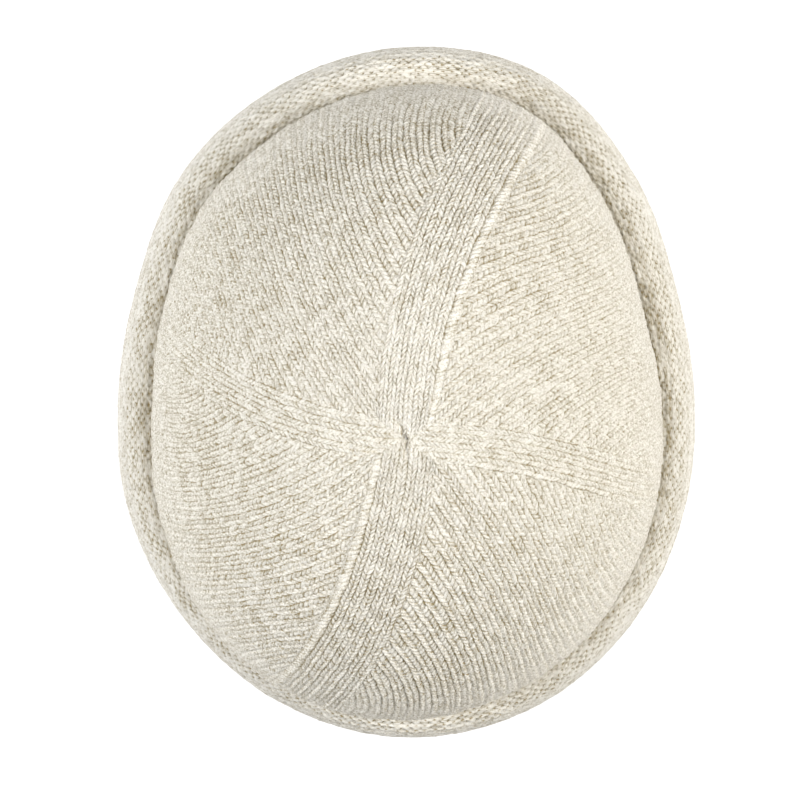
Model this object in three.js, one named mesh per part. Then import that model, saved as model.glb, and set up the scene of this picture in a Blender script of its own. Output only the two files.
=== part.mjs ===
// A knitted docker beanie: a close cap of four gores with its lower edge rolled outwards.
// It stands on its rolled brim. Millimetres, +Z up, +Y towards the forehead, +X to the right
// seen from above, origin under the middle of the brim.
import * as THREE from 'three';
import { mergeVertices } from 'three/addons/utils/BufferGeometryUtils.js';

const KNIT_THICKNESS = 2.6;
const EASE_GAP = 0.3;

// The top, where the four bands meet, lies over the middle of the hat.
const APEX = new THREE.Vector2(-0.3, 0.1);
const SUMMIT_HEIGHT = 130;
const WIDEST_HEIGHT = 36;
const PUCKER_DEPTH = 2.2;
const PUCKER_REACH = 7;

// Seen from above: how far the brim's outer edge and the crown's widest line
// lie from the apex, every sixteenth of a turn from the right-hand side round by the forehead.
const PLAN = [
  { brim: 95.3, crown: 82.9 },
  { brim: 96.0, crown: 82.8 },
  { brim: 104.9, crown: 91.6 },
  { brim: 114.5, crown: 102.8 },
  { brim: 114.4, crown: 103.2 },
  { brim: 109.8, crown: 97.7 },
  { brim: 103.5, crown: 91.9 },
  { brim: 95.6, crown: 84.6 },
  { brim: 94.7, crown: 82.3 },
  { brim: 99.4, crown: 86.9 },
  { brim: 104.6, crown: 94.6 },
  { brim: 110.9, crown: 101.0 },
  { brim: 114.7, crown: 102.5 },
  { brim: 112.9, crown: 99.3 },
  { brim: 106.9, crown: 93.6 },
  { brim: 99.9, crown: 87.4 },
];

// The bands of straight stitches, going round from the right by the forehead. Each runs
// from the apex down the crown, swinging clockwise by turn (degrees per mm of its length),
// and widens from width near the apex to its stitches' full width at the hem.
// Its two fashioned edges stand up a little: the first that is met going round, and the last.
const BANDS = [
  { name: 'right', heading: -2, turn: 0.18, stitches: 4, width: 11.6, firstEdge: 0.5, lastEdge: 0.5 },
  { name: 'front', heading: 88.4, turn: 0.178, stitches: 8, width: 20.2, firstEdge: 1.0, lastEdge: 0.4 },
  { name: 'left', heading: 177.3, turn: 0.19, stitches: 4, width: 11.8, firstEdge: 0.5, lastEdge: 0.5 },
  { name: 'back', heading: 264.8, turn: 0.145, stitches: 8, width: 21.2, firstEdge: 1.0, lastEdge: 0.4 },
];
const HEM_STITCH = 3.4;
const STITCHES_PER_STEP = 2;
const GORE_STEPS = 13;
const MOST_SPREAD_PER_STITCH = 7;
const RIDGE_START = 0.14;
const RIDGE_FULL = 0.3;
const RIDGE_FADE = 0.78;
const RIDGE_END = 0.92;

// The roll's cross-section: the fabric leaves the crown's hem, goes under, up the outside,
// over the top and down beside the crown, and ends inside.
const ROLL_START_RADIUS = 9.8;
const ROLL_PITCH = KNIT_THICKNESS + EASE_GAP;
const ROLL_OUTER_TURN_STEPS = 16;
const ROLL_INNER_TURNS = 0.5;
const ROLL_INNER_STEPS = 4;
const ROLL_STRETCH = 1.12;
const ROLL_HEIGHT = 10.5;
const ROLL_SEGMENTS = 60;
const ROLL_OUTER_REACH = ROLL_START_RADIUS - ROLL_PITCH / 2 + KNIT_THICKNESS / 2;

const HEM_HEIGHT = ROLL_HEIGHT + EASE_GAP;
const WAIST_INSET = ROLL_OUTER_REACH + ROLL_START_RADIUS - KNIT_THICKNESS / 2;

const WALL_LEVELS = [0, 0.14, 0.32, 0.48, 0.64, 0.82];
const DOME_LEVELS = [0, 9, 18, 27, 36, 45, 54, 62, 70, 77, 82, 85.5, 90];
const LINING_WALL_LEVELS = [0, 0.14, 0.48, 0.82];
const LINING_DOME_LEVELS = [0, 15, 30, 45, 60, 72, 82, 90];

const degrees = THREE.MathUtils.degToRad;
const ease = THREE.MathUtils.smoothstep;
const mix = THREE.MathUtils.lerp;

// A column of PLAN at any angle, as a smooth closed curve through its rows.
function reach(column, angle) {
  const turns = angle / (2 * Math.PI);
  const place = (turns - Math.floor(turns)) * PLAN.length;
  const row = Math.floor(place);
  const [before, here, next, after] = [-1, 0, 1, 2].map(
    (k) => PLAN[(row + k + PLAN.length) % PLAN.length][column],
  );
  const f = place - row;
  const slope = (next - before) / 2;
  const nextSlope = (after - here) / 2;
  const span = next - here;
  return here + f * slope
    + f * f * (3 * span - 2 * slope - nextSlope)
    + f * f * f * (slope + nextSlope - 2 * span);
}

function planPoint(column, angle) {
  const r = reach(column, angle);
  return new THREE.Vector2(APEX.x + r * Math.cos(angle), APEX.y + r * Math.sin(angle));
}

// The point that lies inset behind the brim's outer edge, square to it.
function besideBrim(angle, inset) {
  const step = degrees(0.5);
  const along = planPoint('brim', angle + step).sub(planPoint('brim', angle - step)).normalize();
  const outward = new THREE.Vector2(along.y, -along.x);
  return planPoint('brim', angle).addScaledVector(outward, -inset);
}

// A lathe turned once round gives a closed skin; place(point, segment) says where each of
// its profile's points goes in each of its segments.
function closedSkin(pointCount, segments, place) {
  const profile = Array.from({ length: pointCount }, (_, k) => new THREE.Vector2(1, k));
  const skin = new THREE.LatheGeometry(profile, segments);
  const spot = skin.getAttribute('position');
  for (let segment = 0; segment <= segments; segment += 1) {
    for (let point = 0; point < pointCount; point += 1) {
      const { x, y, z } = place(point, segment % segments);
      spot.setXYZ(segment * pointCount + point, x, y, z);
    }
  }
  skin.deleteAttribute('normal');
  skin.deleteAttribute('uv');
  const merged = mergeVertices(skin, 1e-3);
  const corners = merged.getIndex().array;
  const kept = [];
  for (let k = 0; k < corners.length; k += 3) {
    const [a, b, c] = [corners[k], corners[k + 1], corners[k + 2]];
    if (a !== b && b !== c && c !== a) {
      kept.push(a, b, c);
    }
  }
  merged.setIndex(kept);
  merged.computeVertexNormals();
  return merged;
}

// The crown's meridians: each follows a band's edge, or keeps its share of a band or gore.
const MERIDIANS = BANDS.flatMap((band, b) => {
  const steps = band.stitches / STITCHES_PER_STEP;
  const inBand = Array.from({ length: steps }, (_, k) => ({ b, gore: false, share: k / steps }));
  const inGore = Array.from({ length: GORE_STEPS }, (_, k) => ({ b, gore: true, share: k / GORE_STEPS }));
  return [...inBand, ...inGore];
});

function bandEdges(band, out) {
  const distance = Math.max(out * reach('crown', degrees(band.heading)), 1e-6);
  const centre = band.heading - band.turn * distance;
  const widestHalf = band.stitches * MOST_SPREAD_PER_STITCH / 2;
  const width = mix(band.width, band.stitches * HEM_STITCH, out * out);
  const half = THREE.MathUtils.radToDeg(Math.asin(Math.min(1, width / 2 / distance)));
  return [centre - Math.min(half, widestHalf), centre + Math.min(half, widestHalf)];
}

function meridianAngle(index, out) {
  const { b, gore, share } = MERIDIANS[index];
  const next = BANDS[(b + 1) % BANDS.length];
  const [low, high] = bandEdges(BANDS[b], out);
  const nextLow = bandEdges(next, out)[0] + (b + 1 === BANDS.length ? 360 : 0);
  return degrees(gore ? mix(high, nextLow, share) : mix(low, high, share));
}

function ridgeAt(index, out) {
  const { b, gore, share } = MERIDIANS[index];
  if (share > 0) {
    return 0;
  }
  const height = gore ? BANDS[b].lastEdge : BANDS[b].firstEdge;
  return height * ease(out, RIDGE_START, RIDGE_FULL) * (1 - ease(out, RIDGE_FADE, RIDGE_END));
}

function wallPoint(angle, share) {
  const height = mix(HEM_HEIGHT, WIDEST_HEIGHT, share);
  const waist = besideBrim(angle, WAIST_INSET);
  const widest = planPoint('crown', angle);
  const flat = waist.lerp(widest, ease(height, HEM_HEIGHT, WIDEST_HEIGHT));
  return new THREE.Vector3(flat.x, flat.y, height);
}

function domePoint(angle, latitude) {
  const out = Math.cos(latitude);
  const flat = APEX.clone().lerp(planPoint('crown', angle), out);
  const distance = flat.distanceTo(APEX);
  const rise = (SUMMIT_HEIGHT - WIDEST_HEIGHT) * Math.sin(latitude);
  const pucker = PUCKER_DEPTH * Math.exp(-((distance / PUCKER_REACH) ** 2));
  return new THREE.Vector3(flat.x, flat.y, WIDEST_HEIGHT + rise - pucker);
}

// A place on the crown's outer face: up the wall, then over the dome.
function crownFace(angle, level) {
  return level.wall === undefined
    ? domePoint(angle, degrees(level.dome))
    : wallPoint(angle, level.wall);
}

function crownOutward(angle, level) {
  if (level.dome === 90) {
    return new THREE.Vector3(0, 0, 1);
  }
  const turn = degrees(0.5);
  const across = crownFace(angle + turn, level).sub(crownFace(angle - turn, level));
  const lower = level.wall === undefined
    ? { dome: Math.max(level.dome - 0.5, 0) }
    : { wall: Math.max(level.wall - 0.01, 0) };
  const upper = level.wall === undefined
    ? { dome: level.dome + 0.5 }
    : { wall: level.wall + 0.01 };
  const up = crownFace(angle, upper).sub(crownFace(angle, lower));
  return across.cross(up).normalize();
}

function crown() {
  const lining = [
    ...LINING_DOME_LEVELS.map((dome) => ({ dome })).reverse(),
    ...LINING_WALL_LEVELS.map((wall) => ({ wall })).reverse(),
  ];
  const face = [
    ...WALL_LEVELS.map((wall) => ({ wall })),
    ...DOME_LEVELS.map((dome) => ({ dome })),
  ];
  const profile = [
    ...lining.map((level) => ({ level, inside: true })),
    ...face.map((level) => ({ level, inside: false })),
  ];
  return closedSkin(profile.length, MERIDIANS.length, (point, segment) => {
    const { level, inside } = profile[point];
    const out = level.wall === undefined ? Math.cos(degrees(level.dome)) : 1;
    const angle = meridianAngle(segment, out);
    const spot = crownFace(angle, level);
    const raised = inside ? -KNIT_THICKNESS : ridgeAt(segment, out);
    return spot.addScaledVector(crownOutward(angle, level), raised);
  });
}

// A point of the spiral, inward of its middle line: sideways distance from the roll's
// centre, and height. The lowest part lies flat where the hat rests.
function rollPoint(turned, inward) {
  const radius = ROLL_START_RADIUS - ROLL_PITCH * turned - inward;
  const direction = Math.PI + 2 * Math.PI * turned;
  return new THREE.Vector2(
    radius * Math.cos(direction),
    Math.max(0, ROLL_HEIGHT + ROLL_STRETCH * radius * Math.sin(direction)),
  );
}

function rolledBrim() {
  const half = KNIT_THICKNESS / 2;
  const outerTurn = Array.from({ length: ROLL_OUTER_TURN_STEPS + 1 }, (_, k) => k / ROLL_OUTER_TURN_STEPS);
  const innerTurn = Array.from(
    { length: ROLL_INNER_STEPS },
    (_, k) => 1 + ROLL_INNER_TURNS * (k + 1) / ROLL_INNER_STEPS,
  );
  const turns = [...outerTurn, ...innerTurn];
  const outside = turns.map((turned) => rollPoint(turned, -half));
  const within = turns.map((turned) => rollPoint(turned, half)).reverse();
  const section = [...outside, ...within, outside[0]];
  return closedSkin(section.length, ROLL_SEGMENTS, (point, segment) => {
    const angle = 2 * Math.PI * segment / ROLL_SEGMENTS;
    const { x, y } = section[point];
    const flat = besideBrim(angle, ROLL_OUTER_REACH - x);
    return new THREE.Vector3(flat.x, flat.y, y);
  });
}

function knit(name, geometry, color) {
  const yarn = new THREE.MeshStandardMaterial({ color, roughness: 0.95, metalness: 0 });
  const piece = new THREE.Mesh(geometry, yarn);
  piece.name = name;
  return piece;
}

const beanie = new THREE.Group();
beanie.add(knit('crown', crown(), 0xd9d3c0));
beanie.add(knit('rolled_brim', rolledBrim(), 0xdcd6c6));

export default beanie;
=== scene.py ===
import math

import bmesh
import bpy
import numpy as np
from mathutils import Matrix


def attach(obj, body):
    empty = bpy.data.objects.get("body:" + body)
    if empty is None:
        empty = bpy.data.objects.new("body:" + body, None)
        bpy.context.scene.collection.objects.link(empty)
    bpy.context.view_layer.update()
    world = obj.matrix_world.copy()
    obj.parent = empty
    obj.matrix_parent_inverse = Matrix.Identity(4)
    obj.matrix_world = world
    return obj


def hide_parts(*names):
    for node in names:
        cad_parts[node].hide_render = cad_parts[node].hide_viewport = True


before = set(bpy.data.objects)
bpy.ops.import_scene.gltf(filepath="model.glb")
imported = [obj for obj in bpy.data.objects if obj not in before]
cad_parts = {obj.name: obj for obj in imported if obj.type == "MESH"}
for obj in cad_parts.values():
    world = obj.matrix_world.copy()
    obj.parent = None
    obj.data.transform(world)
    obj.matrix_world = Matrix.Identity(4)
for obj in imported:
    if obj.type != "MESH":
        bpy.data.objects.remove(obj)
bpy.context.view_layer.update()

# The view from above, tipped a little towards the forehead side, with the forehead at the
# picture's top. The long lens stands about a metre and a half over the brim.
MM = 0.001
CAMERA_DISTANCE = 1500 * MM
CAMERA_TIP = math.radians(6.7)
CAMERA_AIM = (-2.12 * MM, -1.7 * MM, 10 * MM)
CAMERA_LENS = 204.5
SENSOR_WIDTH = 36
NEAREST_SEEN = 0.05
FARTHEST_SEEN = 20

camera_data = bpy.data.cameras.new("studio_camera")
camera_data.lens = CAMERA_LENS
camera_data.sensor_width = SENSOR_WIDTH
camera_data.clip_start = NEAREST_SEEN
camera_data.clip_end = FARTHEST_SEEN
camera = bpy.data.objects.new("studio_camera", camera_data)
camera.location = (
    CAMERA_AIM[0],
    CAMERA_AIM[1] + CAMERA_DISTANCE * math.sin(CAMERA_TIP),
    CAMERA_AIM[2] + CAMERA_DISTANCE * math.cos(CAMERA_TIP),
)
camera.rotation_euler = (-CAMERA_TIP, 0, 0)
bpy.context.scene.collection.objects.link(camera)
bpy.context.scene.camera = camera

# The studio: a white floor that glows a little, so that the hat throws no hard shadow,
# a large soft box at the left, a slightly warmer one at the right and a third overhead.
FLOOR_SIZE = 6.0
FLOOR_COLOUR = (0.25, 0.25, 0.25, 1)
FLOOR_ROUGHNESS = 0.8
FLOOR_GLOW = 0.86
AIR_STRENGTH = 0.15
WHITE = (1, 1, 1, 1)
SOFT_BOXES = [
    {
        "name": "left_box",
        "place": (-1.5, 0.04, 1.2),
        "size": (0.9, 1.25),
        "power": 26,
        "colour": (0.97, 0.98, 1.0),
    },
    {
        "name": "right_box",
        "place": (1.5, 0.13, 1.25),
        "size": (0.9, 1.25),
        "power": 28,
        "colour": (1.0, 0.98, 0.95),
    },
    {
        "name": "top_box",
        "place": (0.1, 0.22, 2.0),
        "size": (1.0, 1.0),
        "power": 10.5,
        "colour": (1.0, 1.0, 0.99),
    },
]

floor_sheet = bmesh.new()
bmesh.ops.create_grid(floor_sheet, x_segments=1, y_segments=1, size=FLOOR_SIZE / 2)
floor_mesh = bpy.data.meshes.new("studio_floor")
floor_sheet.to_mesh(floor_mesh)
floor_sheet.free()
floor = bpy.data.objects.new("studio_floor", floor_mesh)
bpy.context.scene.collection.objects.link(floor)
floor_paint = bpy.data.materials.new("floor_paint")
floor_paint.use_nodes = True
floor_shader = floor_paint.node_tree.nodes["Principled BSDF"]
floor_shader.inputs["Base Color"].default_value = FLOOR_COLOUR
floor_shader.inputs["Roughness"].default_value = FLOOR_ROUGHNESS
floor_shader.inputs["Emission Color"].default_value = WHITE
floor_shader.inputs["Emission Strength"].default_value = FLOOR_GLOW
floor_mesh.materials.append(floor_paint)

for box in SOFT_BOXES:
    light_data = bpy.data.lights.new(box["name"], "AREA")
    light_data.shape = "RECTANGLE"
    light_data.size, light_data.size_y = box["size"]
    light_data.energy = box["power"]
    light_data.color = box["colour"]
    light = bpy.data.objects.new(box["name"], light_data)
    light.location = box["place"]
    light.rotation_euler = (-light.location).to_track_quat("-Z", "Y").to_euler()
    bpy.context.scene.collection.objects.link(light)

air = bpy.data.worlds.new("studio_air")
air.use_nodes = True
air.node_tree.nodes["Background"].inputs["Color"].default_value = WHITE
air.node_tree.nodes["Background"].inputs["Strength"].default_value = AIR_STRENGTH
bpy.context.scene.world = air
bpy.context.scene.view_settings.view_transform = "Standard"

# The four gores of the crown: plain smooth-side knitting in a thick cream yarn, worked up
# from the brim. Two stitches go at each edge of a gore every few courses, so its columns of
# stitches end one after another under the bands, until nothing is left near the top.
TURN = 2 * math.pi
QUARTER_TURN = TURN / 4
APEX = np.array((-0.3, 0.1)) * MM
SUMMIT_HEIGHT = 130 * MM
WIDEST_HEIGHT = 36 * MM
HEM_HEIGHT = 10.8 * MM
WAIST_INSET = 18.15 * MM
PUCKER_DEPTH = 2.2 * MM
PUCKER_REACH = 7 * MM

# How far the brim's outer edge and the crown's widest line lie from the apex, in
# millimetres, every sixteenth of a turn from the right-hand side round by the forehead.
PLAN = [
    {"brim": 95.3, "crown": 82.9},
    {"brim": 96.0, "crown": 82.8},
    {"brim": 104.9, "crown": 91.6},
    {"brim": 114.5, "crown": 102.8},
    {"brim": 114.4, "crown": 103.2},
    {"brim": 109.8, "crown": 97.7},
    {"brim": 103.5, "crown": 91.9},
    {"brim": 95.6, "crown": 84.6},
    {"brim": 94.7, "crown": 82.3},
    {"brim": 99.4, "crown": 86.9},
    {"brim": 104.6, "crown": 94.6},
    {"brim": 110.9, "crown": 101.0},
    {"brim": 114.7, "crown": 102.5},
    {"brim": 112.9, "crown": 99.3},
    {"brim": 106.9, "crown": 93.6},
    {"brim": 99.9, "crown": 87.4},
]

# The bands between the gores, going round: stitches across, heading in degrees at the apex,
# swing in degrees clockwise for each millimetre outwards, width in millimetres near the top,
# and the height in millimetres to which the first and last edges stand up.
BANDS = [
    {
        "name": "right",
        "stitches": 4,
        "heading": -2,
        "swing": 0.18,
        "width": 12.4,
        "first": 0.5,
        "last": 0.5,
    },
    {
        "name": "front",
        "stitches": 7,
        "heading": 88.4,
        "swing": 0.178,
        "width": 20.2,
        "first": 0.8,
        "last": 0.4,
    },
    {
        "name": "left",
        "stitches": 4,
        "heading": 177.3,
        "swing": 0.19,
        "width": 12.4,
        "first": 0.5,
        "last": 0.5,
    },
    {
        "name": "back",
        "stitches": 7,
        "heading": 264.8,
        "swing": 0.145,
        "width": 20.6,
        "first": 0.8,
        "last": 0.4,
    },
]
BAND_STITCHES = sum(band["stitches"] for band in BANDS)
HEM_STITCH = 3.4

# A stitch is a pair of legs that lean apart towards the apex; LEAN is how many courses the
# legs climb from the stitch's middle to its sides. Each stitch is made of 6 by 4 facets.
LEAN = 1.1
FACETS_ACROSS = (0, 0.14, 0.36, 0.5, 0.64, 0.86)
FACETS_ALONG = (0, 0.18, 0.5, 0.82)
FACETS_PER_STITCH = len(FACETS_ACROSS)
FACETS_PER_COURSE = len(FACETS_ALONG)

# Courses are counted on a dome of middling reach and stretched where the crown reaches
# further. Near the top they run straighter across a gore than a circle would.
COURSE = 1.68 * MM
REACH_OF_COURSES = 90 * MM
WALL_COURSES = 15.4
WALL_TURN = WALL_COURSES * COURSE / REACH_OF_COURSES
STEEPEST = QUARTER_TURN + WALL_TURN
LAST_COURSE = STEEPEST * REACH_OF_COURSES / COURSE
HEM_COURSE = math.ceil(LAST_COURSE + LEAN)
STRAIGHTNESS = 0.5

# A gore's stitches are lost between two courses, counted from the apex. Beyond its edge a
# gore goes on for a fraction of a stitch, tucked under the band.
GORE_NAMES = ["front_right", "front_left", "back_left", "back_right"]
GORE_WALES = 34
FIRST_DECREASE = 57
LAST_DECREASE = 5.7
TIP_COURSES = 1.2
SPARE_COURSES = 2
DECREASE_CURVE = 0.92
DECREASE_FADE = 0.22
TUCK_FROM = -0.1
TUCK_FULL = 0.45
TUCK_WALES = 0.8
TUCK_DEPTH = 1.3 * MM
FARTHEST_SHARE = 1.6
NARROWEST_GORE = 0.05

# At the apex the bands share out the whole turn by their stitches and close over the gores.
CLOSING_BLEND = math.radians(24)
CLOSING_SLACK = math.radians(3.3)
SLACK_FROM = 0.08
SLACK_TO = 0.16

# A leg's height across it, from the stitch's middle out to its side, and along it. The
# yarn is not equally thick everywhere, and the crown's sides are stretched flatter.
RELIEF = 0.98 * MM
LEG_PLACES = (0, 0.28, 0.72, 1)
LEG_HEIGHTS = (0.12, 0.96, 1.0, 0.0)
GROOVE_FILL = 0.2
MIDDLE_FLOOR = 0.1
MIDDLE_FILL = 0.25
LEG_TIP = 0.08
LEG_FULLNESS = 0.7
THINNEST_YARN = 0.68
YARN_SPREAD = 0.42
LEG_LEVEL = 0.8
SIDE_FLATNESS = 0.7
FLATTER_FROM = 0.84

# The pieces' stitches are numbered this far apart, so that no two have the same flecks.
WALES_APART = 50

# The fabric's soft unevenness, up and down and sideways.
WANDER = 0.09 * MM
SWAY = 0.5 * MM

# Corners closer together than this become one, and what is this near to a limit is on it.
MERGE_DISTANCE = 0.01 * MM
NEARLY = 0.01


def ease(low, high, value):
    """Goes softly from 0 to 1 while the value goes from low to high."""
    share = np.clip((value - low) / (high - low), 0, 1)
    return share * share * (3 - 2 * share)


def mix(low, high, share):
    """The value that lies this share of the way from low to high."""
    return low + (high - low) * share


def soft_least(first, second, blend):
    """The lesser of two values, rounded over blend where they cross."""
    share = np.clip(0.5 + 0.5 * (second - first) / blend, 0, 1)
    return mix(second, first, share) - blend * share * (1 - share)


def reach(column, angle):
    """A column of PLAN at any angle, as a smooth closed curve through its rows."""
    rows = np.array([row[column] for row in PLAN]) * MM
    place = angle / TURN % 1.0 * len(rows)
    row = np.floor(place).astype(int)
    before, here, ahead, after = (rows[(row + k) % len(rows)] for k in (-1, 0, 1, 2))
    part = place - row
    slope = (ahead - before) / 2
    next_slope = (after - here) / 2
    span = ahead - here
    bend = part**2 * (3 * span - 2 * slope - next_slope)
    twist = part**3 * (slope + next_slope - 2 * span)
    return here + part * slope + (bend + twist)


def plan_point(column, angle):
    """A place on the brim's or the crown's outline, seen from above."""
    distance = reach(column, angle)
    x = APEX[0] + distance * np.cos(angle)
    y = APEX[1] + distance * np.sin(angle)
    return np.stack((x, y), axis=-1)


def beside_brim(angle, inset):
    """The point that lies inset behind the brim's outer edge, square to it."""
    step = math.radians(0.5)
    along = plan_point("brim", angle + step) - plan_point("brim", angle - step)
    outward = np.stack((along[..., 1], -along[..., 0]), axis=-1)
    outward /= np.linalg.norm(outward, axis=-1, keepdims=True)
    return plan_point("brim", angle) - outward * np.asarray(inset)[..., None]


def dome_share(steep):
    """How far out a place on the dome lies, 0 at the apex and 1 at the widest line."""
    return np.sin(np.minimum(steep, QUARTER_TURN))


def crown_face(angle, steep):
    """A place on the crown: steep turns from 0 at the apex to a quarter turn at the widest
    line, and goes on down the wall to the hem."""
    widest = plan_point("crown", angle)
    on_dome = mix(APEX, widest, dome_share(steep)[..., None])
    distance = np.linalg.norm(on_dome - APEX, axis=-1)
    rise = (SUMMIT_HEIGHT - WIDEST_HEIGHT) * np.cos(np.minimum(steep, QUARTER_TURN))
    pucker = PUCKER_DEPTH * np.exp(-((distance / PUCKER_REACH) ** 2))

    down = np.clip((steep - QUARTER_TURN) / WALL_TURN, 0, 1)
    wall_height = mix(WIDEST_HEIGHT, HEM_HEIGHT, down)
    width = ease(HEM_HEIGHT, WIDEST_HEIGHT, wall_height)
    on_wall = mix(beside_brim(angle, WAIST_INSET), widest, width[..., None])

    past_widest = steep > QUARTER_TURN
    flat = np.where(past_widest[..., None], on_wall, on_dome)
    height = np.where(past_widest, wall_height, WIDEST_HEIGHT + rise - pucker)
    return np.concatenate((flat, height[..., None]), axis=-1)


def crown_outward(angle, steep):
    """The way the smooth crown faces, from its places a little aside, above and below."""
    aside = math.radians(0.6)
    below = 0.008
    steep = np.clip(steep, 2 * NEARLY, STEEPEST - NEARLY)
    across = crown_face(angle + aside, steep) - crown_face(angle - aside, steep)
    down = crown_face(angle, steep + below) - crown_face(angle, steep - below)
    outward = np.cross(down, across)
    return outward / np.linalg.norm(outward, axis=-1, keepdims=True)


def band_middle(band, out):
    """The angle of a band's middle, its width, and the distance from the apex."""
    heading = math.radians(band["heading"])
    distance = out * reach("crown", np.full(np.shape(out), heading))
    distance = np.maximum(distance, MERGE_DISTANCE)
    middle = heading - math.radians(band["swing"]) * distance / MM
    width = mix(band["width"], band["stitches"] * HEM_STITCH, out**2) * MM
    return middle, width, distance


def band_lie(band, out):
    """The middle of a band and half its width, as angles about the apex."""
    middle, width, distance = band_middle(band, out)
    half = np.arcsin(np.minimum(1, width / 2 / distance))
    most = TURN / 2 * band["stitches"] / BAND_STITCHES
    return middle, soft_least(half, most, CLOSING_BLEND)


def gore_edges(which, out):
    """The angles between which the gore after a band lies; they meet near the apex."""
    middle, half = band_lie(BANDS[which], out)
    next_middle, next_half = band_lie(BANDS[(which + 1) % len(BANDS)], out)
    if which + 1 == len(BANDS):
        next_middle = next_middle + TURN
    low = middle + half
    high = next_middle - next_half
    centre = (low + high) / 2
    slack = CLOSING_SLACK * (1 - ease(SLACK_FROM, SLACK_TO, out))
    gap = np.maximum(high - low - slack, 0)
    return centre - gap / 2, centre + gap / 2


def gore_stitches(course):
    """How many stitches a gore has at a course counted from the apex."""
    share = np.clip((course - LAST_DECREASE) / (FIRST_DECREASE - LAST_DECREASE), 0, 2)
    return GORE_WALES * soft_least(share**DECREASE_CURVE, 1.0, DECREASE_FADE)


def courses_from_apex(angle, steep, aside):
    """Courses from the apex to a place that lies aside, as an angle, from its gore's middle."""
    longer = reach("crown", angle) / REACH_OF_COURSES - 1
    stretch = 1 + longer * np.clip(1 - steep / QUARTER_TURN, 0, 1)
    near_top = np.cos(np.minimum(steep, QUARTER_TURN)) ** 2
    straighter = STRAIGHTNESS * near_top * (1 - np.cos(aside))
    return steep * REACH_OF_COURSES / COURSE * stretch * (1 - straighter)


def where_course_lies(course, angle_at):
    """Halves the way down the crown until the courses counted there are right."""
    halvings = 26
    below_hem = 0.2
    high = np.full(course.shape, STEEPEST + below_hem)
    low = np.zeros(course.shape)
    for _ in range(halvings):
        steep = (low + high) / 2
        angle, aside = angle_at(steep)
        too_far = courses_from_apex(angle, steep, aside) > course
        high = np.where(too_far, steep, high)
        low = np.where(too_far, low, steep)
    return angle_at(low)[0], low


def scatter(first, second):
    """A number from 0 to 1 for each stitch, the same each time."""
    mixed = np.floor(first) * 12.9898 + np.floor(second) * 78.233
    return np.sin(mixed) * 43758.5453 % 1.0


def facet_line(count, places):
    """The place of a facet line, counted in facets, in whole stitches or courses."""
    whole, part = np.divmod(count, len(places))
    return whole + np.asarray(places)[part.astype(int)]


def from_middle(wale):
    """How far a place lies from its stitch's middle, 0 there and 1 at the stitch's sides."""
    return abs(2 * (wale % 1.0) - 1)


def leg_height(wale, course):
    """The height of the yarn in its stitch, 0 in the grooves and 1 on top."""
    side = from_middle(wale)
    climb = course + LEAN * side + NEARLY
    groove = GROOVE_FILL * scatter(wale + 0.5, climb / 3)
    middle = MIDDLE_FLOOR + MIDDLE_FILL * scatter(wale, climb / 2 + 9)
    across = np.interp(side, LEG_PLACES, LEG_HEIGHTS)
    across = np.where(side > 1 - NEARLY, groove, across)
    across = np.where(side < NEARLY, middle, across)
    rounded = LEG_TIP + (1 - LEG_TIP) * np.sin(math.pi * (climb % 1.0)) ** LEG_FULLNESS
    uneven = THINNEST_YARN + YARN_SPREAD * scatter(wale * 2, climb)
    return across * rounded * uneven


def wander(place):
    """Soft unevenness of the fabric, a few tenths of a millimetre over its whole face."""
    x, y, z = (place[..., k] / MM for k in range(3))
    slow = np.sin(x / 9.1 + 1.7 * np.sin(y / 17)) + np.sin(y / 7.7 + 1.3 * np.sin(x / 21 + 2))
    return (slow + np.sin(z / 6.3 + x / 11)) * WANDER


def sway(place):
    """The stitches' small sideways unevenness: rows that were not pulled quite alike."""
    x, y, z = (place[..., k] / MM for k in range(3))
    aside = 0.3 * np.sin(x / 1.9 + 2 * np.sin(y / 3.1))
    aside = aside + 0.16 * np.sin(y / 0.71 + 3 * np.sin(x / 1.3))
    ahead = 0.3 * np.sin(y / 1.7 + 2 * np.sin(x / 2.7 + 1))
    ahead = ahead + 0.16 * np.sin(x / 0.67 + 3 * np.sin(y / 1.1 + 2))
    level = 0.2 * np.sin(z / 1.3 + x / 2.9 + y / 3.7)
    return np.stack((aside, ahead, level), axis=-1) * SWAY


def knitted_sheet(name, columns, rows, lay):
    """A sheet of columns by rows facets. lay(column, row) gives the places of its corners,
    their stitch and course for the yarn's pattern, and which corners are cut away."""
    cells = bmesh.new()
    bmesh.ops.create_grid(cells, x_segments=columns, y_segments=rows, size=0.5)
    mesh = bpy.data.meshes.new(name)
    cells.to_mesh(mesh)
    flat = np.empty(len(mesh.vertices) * 3)
    mesh.vertices.foreach_get("co", flat)
    flat = flat.reshape(-1, 3) + 0.5
    place, wale, course, cut = lay(np.rint(flat[:, 0] * columns), np.rint(flat[:, 1] * rows))
    mesh.vertices.foreach_set("co", place.ravel())
    corner = np.empty(len(mesh.loops), dtype=int)
    mesh.loops.foreach_get("vertex_index", corner)
    chart = mesh.uv_layers.new(name="stitches")
    chart.data.foreach_set("uv", np.stack((wale[corner], course[corner]), axis=-1).ravel())
    cells.clear()
    cells.from_mesh(mesh)
    cells.verts.ensure_lookup_table()
    bmesh.ops.delete(cells, geom=[cells.verts[k] for k in np.flatnonzero(cut)], context="VERTS")
    bmesh.ops.remove_doubles(cells, verts=cells.verts, dist=MERGE_DISTANCE)
    for face in cells.faces:
        face.smooth = True
    cells.to_mesh(mesh)
    cells.free()
    piece = bpy.data.objects.new(name, mesh)
    bpy.context.scene.collection.objects.link(piece)
    return piece


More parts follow.
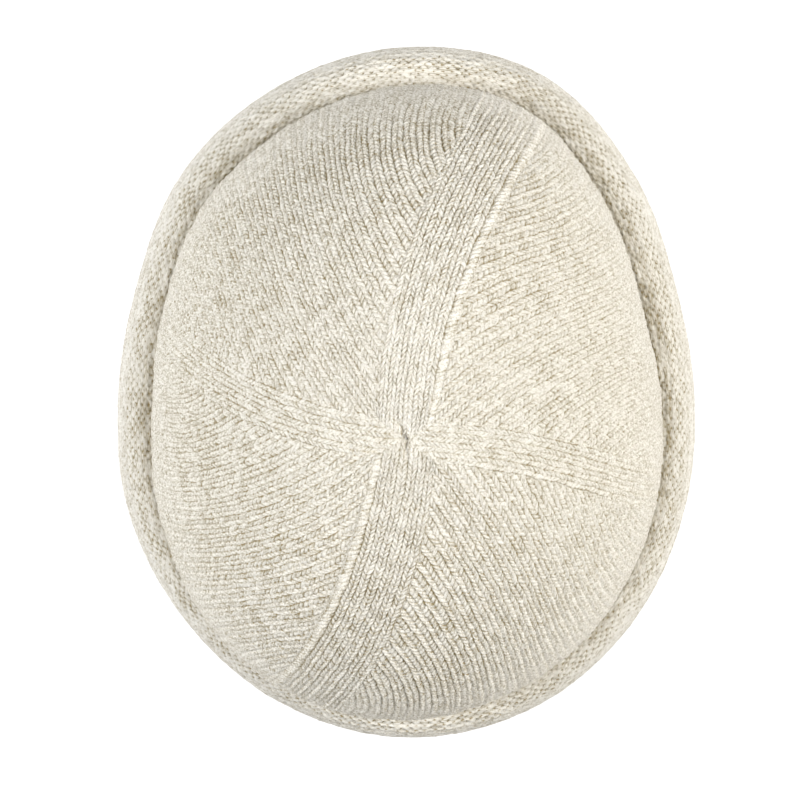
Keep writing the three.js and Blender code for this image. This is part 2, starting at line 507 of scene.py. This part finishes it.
class Amount:
    """An amount that a material works out at each place of the yarn. Sums of amounts are
    written as plain sums, and each becomes a Math node."""

    def __init__(self, tree, socket):
        self.tree = tree
        self.socket = socket

    def work_out(self, operation, *values):
        node = self.tree.nodes.new("ShaderNodeMath")
        node.operation = operation
        for place, value in zip(node.inputs, values):
            if isinstance(value, Amount):
                self.tree.links.new(value.socket, place)
            else:
                place.default_value = value
        return Amount(self.tree, node.outputs[0])

    def __add__(self, other):
        return self.work_out("ADD", self, other)

    def __sub__(self, other):
        return self.work_out("SUBTRACT", self, other)

    def __rsub__(self, other):
        return self.work_out("SUBTRACT", other, self)

    def __mul__(self, other):
        return self.work_out("MULTIPLY", self, other)

    def __rmul__(self, other):
        return self.work_out("MULTIPLY", other, self)

    def __mod__(self, other):
        return self.work_out("FLOORED_MODULO", self, other)

    def __pow__(self, other):
        return self.work_out("POWER", self, other)

    def __abs__(self):
        return self.work_out("ABSOLUTE", self)

    def floor(self):
        return self.work_out("FLOOR", self)

    def sine(self):
        return self.work_out("SINE", self)

    def cosine(self):
        return self.work_out("COSINE", self)

    def at_least(self, least):
        return self.work_out("MAXIMUM", self, least)

    def at_most(self, most):
        return self.work_out("MINIMUM", self, most)

    def eased(self, low, high, start=0.0, end=1.0):
        """Goes softly from start to end while this amount goes from low to high."""
        node = self.tree.nodes.new("ShaderNodeMapRange")
        node.interpolation_type = "SMOOTHSTEP"
        node.inputs["From Min"].default_value = low
        node.inputs["From Max"].default_value = high
        node.inputs["To Min"].default_value = start
        node.inputs["To Max"].default_value = end
        self.tree.links.new(self.socket, node.inputs["Value"])
        return Amount(self.tree, node.outputs["Result"])


def put_together(tree, *amounts):
    """A spot whose coordinates are these amounts."""
    node = tree.nodes.new("ShaderNodeCombineXYZ")
    for place, amount in zip(node.inputs, amounts):
        tree.links.new(amount.socket, place)
    return node.outputs[0]


def taken_apart(tree, spot):
    """The coordinates of a spot, as amounts."""
    node = tree.nodes.new("ShaderNodeSeparateXYZ")
    tree.links.new(spot, node.inputs[0])
    return [Amount(tree, socket) for socket in node.outputs]


def noise(tree, spot, scale, detail, roughness):
    """Soft noise from about 0 to 1 over the spots given."""
    node = tree.nodes.new("ShaderNodeTexNoise")
    node.inputs["Scale"].default_value = scale
    node.inputs["Detail"].default_value = detail
    node.inputs["Roughness"].default_value = roughness
    tree.links.new(spot, node.inputs["Vector"])
    return Amount(tree, node.outputs["Fac"])


# The yarn is cream wool with tan flecks, and the same tan is painted into its hollows as painted shade.
# Its hairs are a fine bump along the fibres.
CREAM = (0.925, 0.895, 0.82, 1)
TAN_FOR_FLECKS_AND_SHADE = (0.30, 0.235, 0.11, 1)
ROUGHNESS = 0.9
GLOSS = 0.15
SHEEN = 0.12
SHEEN_ROUGHNESS = 0.5
SHEEN_TINT = (1.0, 0.98, 0.94, 1)
HAIR_STRENGTH = 0.8
HAIR_HEIGHT = 0.3 * MM

# The stain comes in streaks along the fibres, in a fine mottle, in a tint for each stitch
# and in one that drifts along each row.
HAIR_NOISE = {"scale": 1.0, "detail": 3.0, "roughness": 0.65}
HAIR_MIDDLE = 0.55
MOTTLE_NOISE = {"scale": 1600, "detail": 1.0, "roughness": 0.7}
MOTTLE_MIDDLE = 0.53
FLAT_MOTTLE = 1.2
STITCH_TINT = 0.14
ROW_NOISE = {"scale": 1.0, "detail": 1.0, "roughness": 0.5}
ROW_STEPS = (0.06, 0.73)
ROW_TINT = 0.3

# Fuzz closes over the painted groove shade where the fabric is seen flatly, and a little where it is
# seen straight on. Places seen flatly are painted darker, as painted shade. The stain and painted shade
# may also fade from the hat's middle to its right side, as painted light there.
FACING_BLEND = 0.5
FUZZ_FROM = 0.4
FUZZ_TO = 0.88
FUZZED_GROOVES = 0.1
BRUSHED_TOP = 0.64
BRUSHED_RISE = 2.2
LEAST_DEPTH = 0.4
DEPTH_SPREAD = 1.25
STEEP_PAINTED_SHADE = 0.22
MIDDLE_EDGE = 10 * MM
RIGHT_SIDE_EDGE = 60 * MM


def cream_yarn(name, grooves, fibres, lie=None, light=CREAM, right_side=1.0, mottled=1.5, streaked=1.3):
    """Thick soft cream yarn. grooves(wale, course) gives where painted shade darkens it, fibres(wale,
    course) the places along and across its fibres with a number for each stitch, and lie(tree) the way
    the fabric faces. right_side is the share of its stain and painted shade that is left on the hat's
    right side, so that side is painted lighter."""
    material = bpy.data.materials.new(name)
    material.use_nodes = True
    tree = material.node_tree
    shader = tree.nodes["Principled BSDF"]
    shader.inputs["Roughness"].default_value = ROUGHNESS
    shader.inputs["Specular IOR Level"].default_value = GLOSS
    shader.inputs["Sheen Weight"].default_value = SHEEN
    shader.inputs["Sheen Roughness"].default_value = SHEEN_ROUGHNESS
    shader.inputs["Sheen Tint"].default_value = SHEEN_TINT

    chart = tree.nodes.new("ShaderNodeUVMap")
    chart.uv_map = "stitches"
    wale, course = taken_apart(tree, chart.outputs["UV"])[:2]
    spot = tree.nodes.new("ShaderNodeTexCoord").outputs["Object"]
    along, across, stitch = fibres(wale, course)
    hair = noise(tree, put_together(tree, along, across, stitch), **HAIR_NOISE)
    mottle = noise(tree, spot, **MOTTLE_NOISE)
    row_spot = put_together(tree, wale * ROW_STEPS[0], course.floor() * ROW_STEPS[1])
    row_tint = noise(tree, row_spot, **ROW_NOISE)
    dice = tree.nodes.new("ShaderNodeTexWhiteNoise")
    dice.noise_dimensions = "1D"
    tree.links.new(stitch.socket, dice.inputs["W"])
    own_tint = Amount(tree, dice.outputs["Value"])

    layer = tree.nodes.new("ShaderNodeLayerWeight")
    layer.inputs["Blend"].default_value = FACING_BLEND
    if lie:
        tree.links.new(lie(tree), layer.inputs["Normal"])
    flatly = Amount(tree, layer.outputs["Facing"])

    fuzz = flatly.eased(FUZZ_FROM, FUZZ_TO, 1.0, FUZZED_GROOVES)
    brushed = fuzz * (flatly * BRUSHED_RISE + BRUSHED_TOP).at_most(1.0)
    own_depth = own_tint * DEPTH_SPREAD + LEAST_DEPTH
    # Painted shade in the grooves and pits, thinned where the fuzz closes over them.
    painted_groove_shade = grooves(wale, course) * own_depth * brushed
    fleck = (HAIR_MIDDLE - hair) * streaked + (own_tint - 0.5) * STITCH_TINT
    blotch = (MOTTLE_MIDDLE - mottle) * (flatly * FLAT_MOTTLE + mottled)
    drift = (row_tint - 0.5) * ROW_TINT
    # Painted light: the stain and painted shade thin out towards the hat's right side.
    painted_light_to_right = taken_apart(tree, spot)[0].eased(MIDDLE_EDGE, RIGHT_SIDE_EDGE, 1.0, right_side)
    # The stain, together with the painted shade of the hollows and of places seen flatly.
    stain_and_painted_shade = (painted_groove_shade + fleck + (blotch + drift)) * painted_light_to_right + flatly**2.0 * STEEP_PAINTED_SHADE
    dye = tree.nodes.new("ShaderNodeMix")
    dye.data_type = "RGBA"
    dye.clamp_factor = True
    dye.inputs["A"].default_value = light
    dye.inputs["B"].default_value = TAN_FOR_FLECKS_AND_SHADE
    tree.links.new(stain_and_painted_shade.socket, dye.inputs["Factor"])
    tree.links.new(dye.outputs["Result"], shader.inputs["Base Color"])

    hairs = tree.nodes.new("ShaderNodeBump")
    hairs.inputs["Strength"].default_value = HAIR_STRENGTH
    hairs.inputs["Distance"].default_value = HAIR_HEIGHT
    tree.links.new(hair.socket, hairs.inputs["Height"])
    tree.links.new(hairs.outputs["Normal"], shader.inputs["Normal"])
    return material


# How finely the fibres streak a leg along and across, and the steps by which the legs are numbered.
# Then how dark and how narrow the painted shade in the hollows is: between the wales, down a stitch's
# middle, and between the legs of a wale.
LEG_STREAKS = (2, 3.2)
LEG_NUMBERS = (7.3, 3.7)
WALE_GROOVE = 0.66
MIDDLE_GROOVE = 0.48
GROOVE_NARROWNESS = 7.0
LEG_GAP = 6.5
LEG_GAP_NARROWNESS = 4.0


def leg_fibres(wale, course):
    """Along a leg, across it, and a number of its own for each leg."""
    side = from_middle(wale)
    climb = course + LEAN * side
    own = (wale * 2).floor() * LEG_NUMBERS[0] + climb.floor() * LEG_NUMBERS[1]
    return side * LEG_STREAKS[0], climb * LEG_STREAKS[1], own


def leg_grooves(wale, course):
    """Painted shade between the wales and down each stitch's middle, lightly between its legs."""
    side = from_middle(wale)
    climb = (course + LEAN * side) % 1.0
    between_wales = side**GROOVE_NARROWNESS * WALE_GROOVE
    in_middle = (1 - side) ** GROOVE_NARROWNESS * MIDDLE_GROOVE
    between_legs = abs(climb - 0.5) ** LEG_GAP_NARROWNESS * LEG_GAP
    return between_wales + in_middle + between_legs


DOME_RADII = (87 * MM, 99 * MM, SUMMIT_HEIGHT - WIDEST_HEIGHT)


def dome_lie(tree):
    """The way the smooth dome faces, from its place alone."""
    facing = tree.nodes.new("ShaderNodeTexCoord").outputs["Object"]
    for operation, by in (
        ("SUBTRACT", (0, 0, WIDEST_HEIGHT)),
        ("MAXIMUM", (-1, -1, 0)),
        ("DIVIDE", [radius**2 for radius in DOME_RADII]),
        ("NORMALIZE", (0, 0, 0)),
    ):
        node = tree.nodes.new("ShaderNodeVectorMath")
        node.operation = operation
        node.inputs[1].default_value = by
        tree.links.new(facing, node.inputs[0])
        facing = node.outputs[0]
    return facing


# The crown's yarn keeps this share of its stain and painted shade on the hat's right side, so that side
# is painted lighter.
CROWN_RIGHT_SIDE = 0.8
crown_yarn = cream_yarn(
    "crown_yarn", leg_grooves, leg_fibres, dome_lie, right_side=CROWN_RIGHT_SIDE
)


def lay_gore(which):
    """A gore from the brim up, its sides running in under the bands beside it."""
    def lay(column, row):
        wale = facet_line(column, FACETS_ACROSS) - GORE_WALES / 2
        course = HEM_COURSE - facet_line(row, FACETS_ALONG) - LEAN * from_middle(wale)
        course = np.clip(course, 1.0, LAST_COURSE)
        half_count = np.maximum(gore_stitches(course) / 2, NARROWEST_GORE)

        def angle_at(steep):
            out = dome_share(steep)
            low, high = gore_edges(which, out)
            half = (high - low) / 2
            share = np.clip(wale / half_count, -FARTHEST_SHARE, FARTHEST_SHARE)
            straight = np.arcsin(np.clip(share * np.sin(half), -1, 1))
            aside = mix(straight, share * half, out**4)
            return (low + high) / 2 + aside, aside

        angle, steep = where_course_lies(course, angle_at)
        beyond = abs(wale) - half_count
        tucked = ease(TUCK_FROM, TUCK_FULL, beyond) * TUCK_DEPTH
        place = crown_face(angle, steep)
        flatter = 1 - SIDE_FLATNESS * ease(FLATTER_FROM, 1.0, dome_share(steep))
        height = leg_height(wale + WALES_APART * which, course) - LEG_LEVEL
        lift = RELIEF * flatter * height - tucked + wander(place)
        place = place + crown_outward(angle, steep) * lift[:, None] + sway(place)
        cut = (beyond > TUCK_WALES) | (course < LAST_DECREASE - TIP_COURSES)
        return place, wale + WALES_APART * (which + 1), course, cut
    return lay


for which, name in enumerate(GORE_NAMES):
    gore_courses = HEM_COURSE - int(LAST_DECREASE) + SPARE_COURSES
    gore_rows = gore_courses * FACETS_PER_COURSE
    gore_columns = GORE_WALES * FACETS_PER_STITCH
    gore = knitted_sheet(f"gore_{name}", gore_columns, gore_rows, lay_gore(which))
    gore.data.materials.append(crown_yarn)
    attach(gore, "root")
    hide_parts("crown")

# The four bands of straight stitches between the gores: seven stitches wide at front and
# back, four at the sides. The edge stitches lie double over the gore's ends, like a cord,
# and all the bands run together into the gathered top.
BORDER = 2
BAND_WALES_FROM = 300
BAND_TUCK_WALES = 0.75
BAND_FLATTER_FROM = 0.93
CORD_HEIGHT = 0.7
CORD_FLATTER_FROM = FLATTER_FROM - 0.1
RIDGE_START = 0.14
RIDGE_FULL = 0.3
RIDGE_FADE = 0.66
RIDGE_END = 0.88
FIRST_RIDGE_WIDTH = 0.62
LAST_RIDGE_WIDTH = 0.45
EDGE_WIDTH = 0.22
EDGE_HEIGHT = 0.75
COVER_FROM = 0.02
COVER_FULL = 0.3
COVER_DEPTH = 1.1 * MM
DRAWN_IN_RELIEF = 0.35

# The folds round the drawn-in top, by angle, depth and width in degrees and millimetres,
# and the slit and the crease in it, in millimetres from the apex.
FOLDS = [
    {"angle": 112, "depth": 1.8, "width": 9},
    {"angle": 176, "depth": 1.0, "width": 9},
    {"angle": 232, "depth": 0.6, "width": 10},
    {"angle": 278, "depth": 1.7, "width": 9},
    {"angle": 335, "depth": 0.6, "width": 9},
    {"angle": 22, "depth": 0.5, "width": 9},
]
FOLD_REACH = 9 * MM
FOLD_START = 1.5 * MM
CREASES = [
    {"x": 0.1, "y": 0.2, "heading": 120, "depth": 1.9, "reach": 1.6, "width": 0.5},
    {"x": -10.3, "y": -3.6, "heading": -14, "depth": 1.5, "reach": 2.3, "width": 0.6},
]


def gathered(place):
    """Short folds round the drawn-in top, which die out a centimetre from it, and the slit
    that the drawing thread leaves in its middle."""
    flat = place[:, :2] - APEX
    distance = np.linalg.norm(flat, axis=-1)
    angle = np.degrees(np.arctan2(flat[:, 1], flat[:, 0]))
    strength = np.exp(-((distance / FOLD_REACH) ** 2)) * ease(0, FOLD_START, distance)
    depth = np.zeros(len(place))
    for fold in FOLDS:
        aside = (angle - fold["angle"] + 180) % 360 - 180
        depth += fold["depth"] * MM * np.exp(-((aside / fold["width"]) ** 2))
    creased = np.zeros(len(place))
    for crease in CREASES:
        turn = math.radians(crease["heading"])
        x = flat[:, 0] / MM - crease["x"]
        y = flat[:, 1] / MM - crease["y"]
        lengthwise = (x * math.cos(turn) + y * math.sin(turn)) / crease["reach"]
        crosswise = (y * math.cos(turn) - x * math.sin(turn)) / crease["width"]
        creased += crease["depth"] * MM * np.exp(-(lengthwise**4) - crosswise**2)
    return depth * strength + creased


def edge_ridges(band, wale):
    """How high a band's two edge stitches stand, doubled over the gore's ends."""
    from_first = (wale - 0.5) / FIRST_RIDGE_WIDTH
    from_last = (band["stitches"] - wale - 0.5) / LAST_RIDGE_WIDTH
    first = band["first"] * np.exp(-(from_first**2))
    last = band["last"] * np.exp(-(from_last**2))
    return first + last


# The front band gets a lighter cream than the rest, as painted light where it is lit more brightly.
FRONT_PAINTED_LIGHT_CREAM = (0.985, 0.955, 0.88, 1)
front_painted_light_yarn = cream_yarn(
    "front_painted_light_yarn", leg_grooves, leg_fibres, dome_lie, light=FRONT_PAINTED_LIGHT_CREAM, right_side=CROWN_RIGHT_SIDE
)


def lay_band(which):
    """A band from the brim up to the apex, its edge stitches lying over the gores."""
    band = BANDS[which]
    stitches = band["stitches"]

    def lay(column, row):
        wale = facet_line(column - BORDER, FACETS_ACROSS)
        corded = (wale >= 0) & (wale < 1) & (band["first"] > CORD_HEIGHT)
        shown = np.where(corded, 0.5 + wale / 2, wale)
        course = HEM_COURSE - facet_line(row, FACETS_ALONG) - LEAN * from_middle(shown)
        course = np.clip(course, 0.0, LAST_COURSE)
        chart_wale = shown + BAND_WALES_FROM + WALES_APART * which

        def angle_at(steep):
            out = dome_share(steep)
            middle, width, distance = band_middle(band, out)
            offset = (wale / stitches - 0.5) * width / distance
            aside = np.arcsin(np.clip(offset, -1, 1))
            return middle + aside, aside

        angle, steep = where_course_lies(course, angle_at)
        out = dome_share(steep)
        place = crown_face(angle, steep)
        width, distance = band_middle(band, out)[1:]
        first = gore_edges((which - 1) % len(BANDS), out)[1] - (TURN if which == 0 else 0)
        last = gore_edges(which, out)[0]
        beyond = np.maximum(first - angle, angle - last) * distance / (width / stitches)
        standing = ease(RIDGE_START, RIDGE_FULL, out) * (1 - ease(RIDGE_FADE, RIDGE_END, out))
        ridge = standing * edge_ridges(band, wale) * MM
        covered = ease(COVER_FROM, COVER_FULL, beyond) * COVER_DEPTH
        edge = EDGE_HEIGHT * np.exp(-((beyond / EDGE_WIDTH) ** 2)) * standing
        height = np.maximum(leg_height(chart_wale, course), edge)
        clear_of_top = ease(0, FOLD_REACH, np.linalg.norm(place[:, :2] - APEX, axis=-1))
        flatter_from = np.where(corded, CORD_FLATTER_FROM, BAND_FLATTER_FROM)
        flatter = 1 - SIDE_FLATNESS * ease(flatter_from, 1.0, out)
        relief = RELIEF * flatter * mix(DRAWN_IN_RELIEF, 1, clear_of_top)
        lift = relief * (height - LEG_LEVEL) + ridge - covered
        lift = lift + wander(place) - gathered(place)
        place = place + crown_outward(angle, steep) * lift[:, None] + sway(place)
        return place, chart_wale, course, beyond > BAND_TUCK_WALES
    return lay


for which, band in enumerate(BANDS):
    band_columns = band["stitches"] * FACETS_PER_STITCH + 2 * BORDER
    band_rows = HEM_COURSE * FACETS_PER_COURSE
    strip = knitted_sheet(f"band_{band['name']}", band_columns, band_rows, lay_band(which))
    # The front band takes the lighter yarn with painted light.
    strip.data.materials.append(front_painted_light_yarn if band["name"] == "front" else crown_yarn)
    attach(strip, "root")
    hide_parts("crown")

# The reverse of the crown, which shows only from below: the same fabric's purl side, with
# its rows of loop heads going round. It ends a little past the hem, against the brim.
KNIT_THICKNESS = 2.6 * MM
INSIDE_WALES = 158
INSIDE_ACROSS = 2
INSIDE_ALONG = 2
INSIDE_RELIEF = 0.4 * MM
INSIDE_LEVEL = 0.5
INSIDE_SHIFT = 0.25
PAST_HEM = 0.4
HEM_SPREAD = 0.8 * MM
HEM_DROP = 1.8 * MM

# Each stitch shows two loop heads, one of each row, by their place aside, their place in the course and
# the way they arch. A head is an oval dome; the pits between heads and the grooves between rows get
# painted shade.
HEADS = [
    {"aside": 0.0, "level": 0.25, "arch": 0.7},
    {"aside": 0.5, "level": 0.75, "arch": -0.7},
]
HEAD_STREAKS = (1.3, 4.6)
HEAD_NUMBERS = (5.13, 2.97)
HEAD_TILT = 0.35
HEAD_HALF_WIDTH = 0.6
HEAD_HALF_HEIGHT = 0.27
PIT_DARKNESS = 1.35
PIT_NARROWNESS = 1.1
PIT_FLATNESS = 5.0
ROW_GROOVE = 0.5
ROW_GROOVE_NARROWNESS = 8.0


def purl_fibres(wale, course):
    """Along a loop head, across it, and a number of its own for each head."""
    row = (course * 2).floor()
    head = (wale + (row + 1) % 2 * 0.5).floor()
    own = head * HEAD_NUMBERS[0] + row * HEAD_NUMBERS[1]
    return wale * HEAD_STREAKS[0], course * HEAD_STREAKS[1], own


def purl_pits(wale, course):
    """Painted shade in pits in staggered rows between the loop heads, and in the grooves between the
    rows.
    """
    along = (course * TURN).sine()
    low = ((wale * TURN).cosine() * along * -1).at_least(0)
    pits = low**PIT_NARROWNESS * abs(along) ** PIT_FLATNESS * PIT_DARKNESS
    between_rows = (course * TURN).cosine() ** ROW_GROOVE_NARROWNESS * ROW_GROOVE
    return pits + between_rows


reverse_yarn = cream_yarn("reverse_yarn", purl_pits, purl_fibres)


def purl_height(wale, course):
    """Loop heads of one row over those of the next, half a stitch aside."""
    height = np.zeros(wale.shape)
    for head in HEADS:
        aside = (wale - head["aside"] + 0.5) % 1.0 - 0.5
        above = (course - head["level"] + head["arch"] * aside**2 + 0.5) % 1.0 - 0.5
        own = scatter(wale - head["aside"] + 0.5, course - head["level"] + 0.5)
        above = above + (own - 0.5) * HEAD_TILT * aside
        dome = 1 - (aside / HEAD_HALF_WIDTH) ** 2 - (above / HEAD_HALF_HEIGHT) ** 2
        uneven = THINNEST_YARN + YARN_SPREAD * own
        height = np.maximum(height, np.sqrt(np.clip(dome, 0, 1)) * uneven)
    return height


def lay_inside(column, row):
    """The crown's inner face, a knit's thickness within the outer one."""
    wale = -column / INSIDE_ACROSS
    course = LAST_COURSE + PAST_HEM - row / INSIDE_ALONG
    steep = np.clip(course, 0, None) * COURSE / REACH_OF_COURSES
    angle = wale / INSIDE_WALES * TURN
    place = crown_face(angle, steep)
    hem = np.clip((course - LAST_COURSE) / PAST_HEM, 0, 1)
    relief = INSIDE_RELIEF * (purl_height(wale, course + INSIDE_SHIFT) - INSIDE_LEVEL)
    drop = HEM_SPREAD * hem - KNIT_THICKNESS - relief
    place = place + crown_outward(angle, steep) * drop[:, None]
    place[:, 2] -= hem * HEM_DROP
    return place, wale, course, np.zeros(len(place), dtype=bool)


inside_rows = round((LAST_COURSE + PAST_HEM) * INSIDE_ALONG)
inside = knitted_sheet("crown_reverse", INSIDE_WALES * INSIDE_ACROSS, inside_rows, lay_inside)
inside.data.materials.append(reverse_yarn)
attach(inside, "root")
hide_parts("crown")

# The rolled brim: the lower edge of the same fabric, curled outwards and up round itself one
# and a half times, so that its purl side shows. It is not sewn or stuffed.
ROLL_START_RADIUS = 9.8 * MM
ROLL_PITCH = 2.9 * MM
ROLL_STRETCH = 1.12
ROLL_HEIGHT = 10.5 * MM
ROLL_TURNS = 1.5
ROLL_OUTER_REACH = 9.65 * MM
ROLL_SAMPLES = 600
EDGE_SAMPLES = 1441
BRIM_PARTS = ["right", "front", "left", "back"]
BRIM_WALES = 200
BRIM_ACROSS = 5
BRIM_ALONG = 4
BRIM_COURSE = 2.25 * MM
BRIM_RELIEF = 1.35 * MM
BRIM_LEVEL = 0.75
STEADY_BELOW = 4 * MM

# Places in the roll, in turns: where the fabric goes out of sight, where it is brushed
# flatter at the outer edge, and where its haze and the shade beside the crown lie.
SEEN_TURNS = 1.08
BRUSHED_AT = 0.48
BRUSHED_WIDTH = 0.12
BRUSHED_EDGE = 0.8
HAZE_START = 0.55
HAZE_END = 0.69
SHADE_START = 0.69
SHADE_END = 0.755
SHADE_DEPTH = 0.4
SHADE_AT_ENDS = 0.3
SHADED_PITS = 0.6


def roll_point(turned, outward):
    """The roll's section: sideways distance from its middle and height over the table."""
    radius = ROLL_START_RADIUS - ROLL_PITCH * turned + outward
    direction = TURN / 2 + TURN * turned
    sideways = radius * np.cos(direction)
    height = ROLL_HEIGHT + ROLL_STRETCH * radius * np.sin(direction)
    return sideways, np.maximum(0, height)


def length_along(steps):
    """The way gone at each sample of a line, from the steps between its samples."""
    return np.concatenate(([0], np.cumsum(np.linalg.norm(steps, axis=-1))))


sample_turns = np.linspace(0, ROLL_TURNS, ROLL_SAMPLES)
roll_samples = np.stack(roll_point(sample_turns, KNIT_THICKNESS / 2), axis=-1)
roll_length = length_along(np.diff(roll_samples, axis=0))
brim_courses = round(float(roll_length[-1]) / BRIM_COURSE)
sample_angles = np.linspace(0, TURN, EDGE_SAMPLES)
edge_length = length_along(np.diff(plan_point("brim", sample_angles), axis=0))


def course_after(turns):
    """The courses knitted up to a place in the roll."""
    length = float(np.interp(turns, sample_turns, roll_length))
    return length / float(roll_length[-1]) * brim_courses


seen_courses = math.ceil(course_after(SEEN_TURNS))
seen_rows = seen_courses * BRIM_ALONG
brim_rows = seen_rows + brim_courses - seen_courses


def brim_pits(wale, course):
    """The painted shade of the pits between the loop heads, hazed over at the outer edge, and the
    painted shade low down beside the crown, which is deeper at the hat's sides than at its front and
    back."""
    shade = course.eased(course_after(SHADE_START), course_after(SHADE_END))
    clear = course.eased(course_after(HAZE_START), course_after(HAZE_END))
    at_sides = abs((wale * (TURN / BRIM_WALES)).cosine())
    depth = at_sides * ((1 - SHADE_AT_ENDS) * SHADE_DEPTH) + SHADE_AT_ENDS * SHADE_DEPTH
    return purl_pits(wale, course) * (clear - shade * SHADED_PITS) + shade * depth


brim_yarn = cream_yarn("brim_yarn", brim_pits, purl_fibres, mottled=0.5, streaked=1.5)


def lay_brim(part):
    """A quarter of the brim, from the crown's hem down, out and up round itself."""
    def lay(column, row):
        wale = part * BRIM_WALES / len(BRIM_PARTS) + column / BRIM_ACROSS
        hidden_course = row - seen_rows + seen_courses
        course = np.where(row > seen_rows, hidden_course, row / BRIM_ALONG)
        turned = np.interp(course / brim_courses * roll_length[-1], roll_length, sample_turns)
        angle = np.interp(wale / BRIM_WALES * edge_length[-1], edge_length, sample_angles)
        at_edge = np.exp(-(((turned - BRUSHED_AT) / BRUSHED_WIDTH) ** 2))
        brushed = np.where(turned > SEEN_TURNS, 0, 1 - BRUSHED_EDGE * at_edge)
        relief = BRIM_RELIEF * brushed * (purl_height(wale, course) - BRIM_LEVEL)
        sideways, height = roll_point(turned, KNIT_THICKNESS / 2 + relief)
        flat = beside_brim(angle, ROLL_OUTER_REACH - sideways)
        place = np.concatenate((flat, height[:, None]), axis=-1)
        swaying = brushed * (height > STEADY_BELOW)
        place = place + sway(place) * swaying[:, None]
        return place, wale, course, np.zeros(len(place), dtype=bool)
    return lay


for part, name in enumerate(BRIM_PARTS):
    brim_columns = BRIM_WALES // len(BRIM_PARTS) * BRIM_ACROSS
    quarter = knitted_sheet(f"brim_{name}", brim_columns, brim_rows, lay_brim(part))
    quarter.data.materials.append(brim_yarn)
    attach(quarter, "root")
    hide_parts("rolled_brim")
